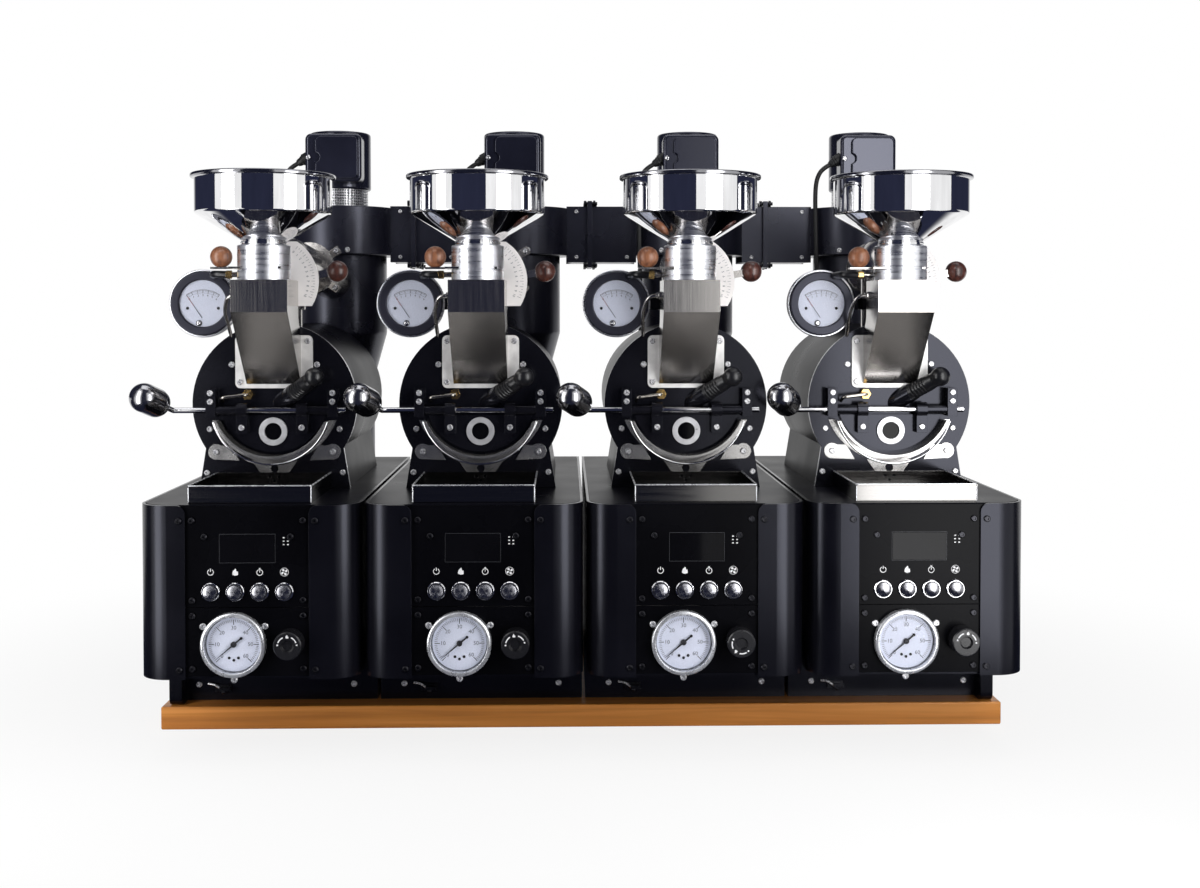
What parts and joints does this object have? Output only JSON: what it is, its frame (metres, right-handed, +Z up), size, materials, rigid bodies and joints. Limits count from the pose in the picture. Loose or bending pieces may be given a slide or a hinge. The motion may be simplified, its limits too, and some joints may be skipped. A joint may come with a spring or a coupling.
{
  "type": "sample coffee roaster",
  "caption": "Bank of gas-fired drum sample roasters on a wooden board: each has a hopper, chute, drum with weighted door, cooling tray and control panel, under a shared exhaust duct.",
  "frame": {"origin": "middle of the wooden board's underside, on the table", "axes": "+X to the right along the bank, +Y to the back, +Z up"},
  "size_m": [0.9825, 0.562, 0.715],
  "materials": {
    "oak_board": "honey varnish, satin",
    "black_powder_coat": "fine satin powder coat",
    "panel_black": "smooth satin black",
    "gauge_case": "brushed bezel, black flange",
    "gloss_black": "gloss enamel",
    "motor_black": "satin",
    "stainless": "bright rolled",
    "polished_steel": "mirror polished",
    "blower_black": "satin black",
    "lead_rubber": "matte",
    "screw_steel": "bright",
    "walnut": "oiled walnut ball on a steel plate",
    "dark_walnut": "dark oiled walnut ball on a steel lever",
    "handle_black": "moulded, ribbed",
    "drum_iron": "heat darkened",
    "knob_black": "moulded",
    "button_chrome": "polished"
  },
  "bodies": {
    "stand": {"base_board": "oak_board", "cabinet_frames": "black_powder_coat", "cabinet_shells": "black_powder_coat", "control_panels": "panel_black", "pressure_gauges": "gauge_case", "front_plates": "gloss_black", "drum_housings": "black_powder_coat", "drum_drives": "motor_black", "discharge_troughs": "stainless", "feed_hoppers": "polished_steel", "feed_chutes": "stainless", "exhaust_pipes": "stainless", "exhaust_blowers": "blower_black", "exhaust_manifold": "black_powder_coat", "motor_leads": "lead_rubber", "cap_screws": "screw_steel"},
    "hopper_gate_1": {"hopper_gate_1": "walnut"},
    "damper_1": {"damper_1": "dark_walnut"},
    "bean_trier_1": {"bean_trier_1": "handle_black"},
    "discharge_door_1": {"discharge_door_1": "gloss_black"},
    "roasting_drum_1": {"roasting_drum_1": "drum_iron"},
    "cooling_tray_1": {"cooling_tray_1": "stainless"},
    "gas_knob_1": {"gas_knob_1": "knob_black"},
    "power_button_1": {"power_button_1": "button_chrome"},
    "fire_button_1": {"fire_button_1": "button_chrome"},
    "timer_button_1": {"timer_button_1": "button_chrome"},
    "cooling_button_1": {"cooling_button_1": "button_chrome"},
    "hopper_gate_2": {"hopper_gate_2": "walnut"},
    "damper_2": {"damper_2": "dark_walnut"},
    "bean_trier_2": {"bean_trier_2": "handle_black"},
    "discharge_door_2": {"discharge_door_2": "gloss_black"},
    "roasting_drum_2": {"roasting_drum_2": "drum_iron"},
    "cooling_tray_2": {"cooling_tray_2": "stainless"},
    "gas_knob_2": {"gas_knob_2": "knob_black"},
    "power_button_2": {"power_button_2": "button_chrome"},
    "fire_button_2": {"fire_button_2": "button_chrome"},
    "timer_button_2": {"timer_button_2": "button_chrome"},
    "cooling_button_2": {"cooling_button_2": "button_chrome"},
    "hopper_gate_3": {"hopper_gate_3": "walnut"},
    "damper_3": {"damper_3": "dark_walnut"},
    "bean_trier_3": {"bean_trier_3": "handle_black"},
    "discharge_door_3": {"discharge_door_3": "gloss_black"},
    "roasting_drum_3": {"roasting_drum_3": "drum_iron"},
    "cooling_tray_3": {"cooling_tray_3": "stainless"},
    "gas_knob_3": {"gas_knob_3": "knob_black"},
    "power_button_3": {"power_button_3": "button_chrome"},
    "fire_button_3": {"fire_button_3": "button_chrome"},
    "timer_button_3": {"timer_button_3": "button_chrome"},
    "cooling_button_3": {"cooling_button_3": "button_chrome"},
    "hopper_gate_4": {"hopper_gate_4": "walnut"},
    "damper_4": {"damper_4": "dark_walnut"},
    "bean_trier_4": {"bean_trier_4": "handle_black"},
    "discharge_door_4": {"discharge_door_4": "gloss_black"},
    "roasting_drum_4": {"roasting_drum_4": "drum_iron"},
    "cooling_tray_4": {"cooling_tray_4": "stainless"},
    "gas_knob_4": {"gas_knob_4": "knob_black"},
    "power_button_4": {"power_button_4": "button_chrome"},
    "fire_button_4": {"fire_button_4": "button_chrome"},
    "timer_button_4": {"timer_button_4": "button_chrome"},
    "cooling_button_4": {"cooling_button_4": "button_chrome"}
  },
  "joints": [
    {"name": "gate_slide_1", "type": "slide", "parent": "stand", "child": "hopper_gate_1", "axis": [-1, 0, 0], "range_m": [0, 0.044]},
    {"name": "damper_turn_1", "type": "hinge", "parent": "stand", "child": "damper_1", "pos_m": [-0.354, -0.1865, 0.506], "axis": [0, -1, 0], "range_deg": [-38, 28]},
    {"name": "trier_slide_1", "type": "slide", "parent": "stand", "child": "bean_trier_1", "axis": [0.66, -0.59, 0.465], "range_m": [0, 0.07]},
    {"name": "door_swing_1", "type": "hinge", "parent": "stand", "child": "discharge_door_1", "pos_m": [-0.354, -0.1835, 0.3614], "axis": [-1, 0, 0], "range_deg": [0, 65]},
    {"name": "drum_spin_1", "type": "hinge", "parent": "stand", "child": "roasting_drum_1", "pos_m": [-0.354, -0.0775, 0.3678], "axis": [0, 1, 0], "continuous": true},
    {"name": "tray_slide_1", "type": "slide", "parent": "stand", "child": "cooling_tray_1", "axis": [0, -1, 0], "range_m": [0, 0.14]},
    {"name": "gas_turn_1", "type": "hinge", "parent": "stand", "child": "gas_knob_1", "pos_m": [-0.309, -0.3175, 0.127], "axis": [0, 1, 0], "range_deg": [0, 270]},
    {"name": "power_press_1", "type": "slide", "parent": "stand", "child": "power_button_1", "axis": [0, 1, 0], "range_m": [0, 0.003], "stiffness_N_per_m": 300},
    {"name": "fire_press_1", "type": "slide", "parent": "stand", "child": "fire_button_1", "axis": [0, 1, 0], "range_m": [0, 0.003], "stiffness_N_per_m": 300},
    {"name": "timer_press_1", "type": "slide", "parent": "stand", "child": "timer_button_1", "axis": [0, 1, 0], "range_m": [0, 0.003], "stiffness_N_per_m": 300},
    {"name": "cooling_press_1", "type": "slide", "parent": "stand", "child": "cooling_button_1", "axis": [0, 1, 0], "range_m": [0, 0.003], "stiffness_N_per_m": 300},
    {"name": "gate_slide_2", "type": "slide", "parent": "stand", "child": "hopper_gate_2", "axis": [-1, 0, 0], "range_m": [0, 0.044]},
    {"name": "damper_turn_2", "type": "hinge", "parent": "stand", "child": "damper_2", "pos_m": [-0.118, -0.1865, 0.506], "axis": [0, -1, 0], "range_deg": [-38, 28]},
    {"name": "trier_slide_2", "type": "slide", "parent": "stand", "child": "bean_trier_2", "axis": [0.66, -0.59, 0.465], "range_m": [0, 0.07]},
    {"name": "door_swing_2", "type": "hinge", "parent": "stand", "child": "discharge_door_2", "pos_m": [-0.118, -0.1835, 0.3614], "axis": [-1, 0, 0], "range_deg": [0, 65]},
    {"name": "drum_spin_2", "type": "hinge", "parent": "stand", "child": "roasting_drum_2", "pos_m": [-0.118, -0.0775, 0.3678], "axis": [0, 1, 0], "continuous": true},
    {"name": "tray_slide_2", "type": "slide", "parent": "stand", "child": "cooling_tray_2", "axis": [0, -1, 0], "range_m": [0, 0.14]},
    {"name": "gas_turn_2", "type": "hinge", "parent": "stand", "child": "gas_knob_2", "pos_m": [-0.073, -0.3175, 0.127], "axis": [0, 1, 0], "range_deg": [0, 270]},
    {"name": "power_press_2", "type": "slide", "parent": "stand", "child": "power_button_2", "axis": [0, 1, 0], "range_m": [0, 0.003], "stiffness_N_per_m": 300},
    {"name": "fire_press_2", "type": "slide", "parent": "stand", "child": "fire_button_2", "axis": [0, 1, 0], "range_m": [0, 0.003], "stiffness_N_per_m": 300},
    {"name": "timer_press_2", "type": "slide", "parent": "stand", "child": "timer_button_2", "axis": [0, 1, 0], "range_m": [0, 0.003], "stiffness_N_per_m": 300},
    {"name": "cooling_press_2", "type": "slide", "parent": "stand", "child": "cooling_button_2", "axis": [0, 1, 0], "range_m": [0, 0.003], "stiffness_N_per_m": 300},
    {"name": "gate_slide_3", "type": "slide", "parent": "stand", "child": "hopper_gate_3", "axis": [-1, 0, 0], "range_m": [0, 0.044]},
    {"name": "damper_turn_3", "type": "hinge", "parent": "stand", "child": "damper_3", "pos_m": [0.118, -0.1865, 0.506], "axis": [0, -1, 0], "range_deg": [-38, 28]},
    {"name": "trier_slide_3", "type": "slide", "parent": "stand", "child": "bean_trier_3", "axis": [0.66, -0.59, 0.465], "range_m": [0, 0.07]},
    {"name": "door_swing_3", "type": "hinge", "parent": "stand", "child": "discharge_door_3", "pos_m": [0.118, -0.1835, 0.3614], "axis": [-1, 0, 0], "range_deg": [0, 65]},
    {"name": "drum_spin_3", "type": "hinge", "parent": "stand", "child": "roasting_drum_3", "pos_m": [0.118, -0.0775, 0.3678], "axis": [0, 1, 0], "continuous": true},
    {"name": "tray_slide_3", "type": "slide", "parent": "stand", "child": "cooling_tray_3", "axis": [0, -1, 0], "range_m": [0, 0.14]},
    {"name": "gas_turn_3", "type": "hinge", "parent": "stand", "child": "gas_knob_3", "pos_m": [0.163, -0.3175, 0.127], "axis": [0, 1, 0], "range_deg": [0, 270]},
    {"name": "power_press_3", "type": "slide", "parent": "stand", "child": "power_button_3", "axis": [0, 1, 0], "range_m": [0, 0.003], "stiffness_N_per_m": 300},
    {"name": "fire_press_3", "type": "slide", "parent": "stand", "child": "fire_button_3", "axis": [0, 1, 0], "range_m": [0, 0.003], "stiffness_N_per_m": 300},
    {"name": "timer_press_3", "type": "slide", "parent": "stand", "child": "timer_button_3", "axis": [0, 1, 0], "range_m": [0, 0.003], "stiffness_N_per_m": 300},
    {"name": "cooling_press_3", "type": "slide", "parent": "stand", "child": "cooling_button_3", "axis": [0, 1, 0], "range_m": [0, 0.003], "stiffness_N_per_m": 300},
    {"name": "gate_slide_4", "type": "slide", "parent": "stand", "child": "hopper_gate_4", "axis": [-1, 0, 0], "range_m": [0, 0.044]},
    {"name": "damper_turn_4", "type": "hinge", "parent": "stand", "child": "damper_4", "pos_m": [0.354, -0.1865, 0.506], "axis": [0, -1, 0], "range_deg": [-38, 28]},
    {"name": "trier_slide_4", "type": "slide", "parent": "stand", "child": "bean_trier_4", "axis": [0.66, -0.59, 0.465], "range_m": [0, 0.07]},
    {"name": "door_swing_4", "type": "hinge", "parent": "stand", "child": "discharge_door_4", "pos_m": [0.354, -0.1835, 0.3614], "axis": [-1, 0, 0], "range_deg": [0, 65]},
    {"name": "drum_spin_4", "type": "hinge", "parent": "stand", "child": "roasting_drum_4", "pos_m": [0.354, -0.0775, 0.3678], "axis": [0, 1, 0], "continuous": true},
    {"name": "tray_slide_4", "type": "slide", "parent": "stand", "child": "cooling_tray_4", "axis": [0, -1, 0], "range_m": [0, 0.14]},
    {"name": "gas_turn_4", "type": "hinge", "parent": "stand", "child": "gas_knob_4", "pos_m": [0.399, -0.3175, 0.127], "axis": [0, 1, 0], "range_deg": [0, 270]},
    {"name": "power_press_4", "type": "slide", "parent": "stand", "child": "power_button_4", "axis": [0, 1, 0], "range_m": [0, 0.003], "stiffness_N_per_m": 300},
    {"name": "fire_press_4", "type": "slide", "parent": "stand", "child": "fire_button_4", "axis": [0, 1, 0], "range_m": [0, 0.003], "stiffness_N_per_m": 300},
    {"name": "timer_press_4", "type": "slide", "parent": "stand", "child": "timer_button_4", "axis": [0, 1, 0], "range_m": [0, 0.003], "stiffness_N_per_m": 300},
    {"name": "cooling_press_4", "type": "slide", "parent": "stand", "child": "cooling_button_4", "axis": [0, 1, 0], "range_m": [0, 0.003], "stiffness_N_per_m": 300}
  ]
}
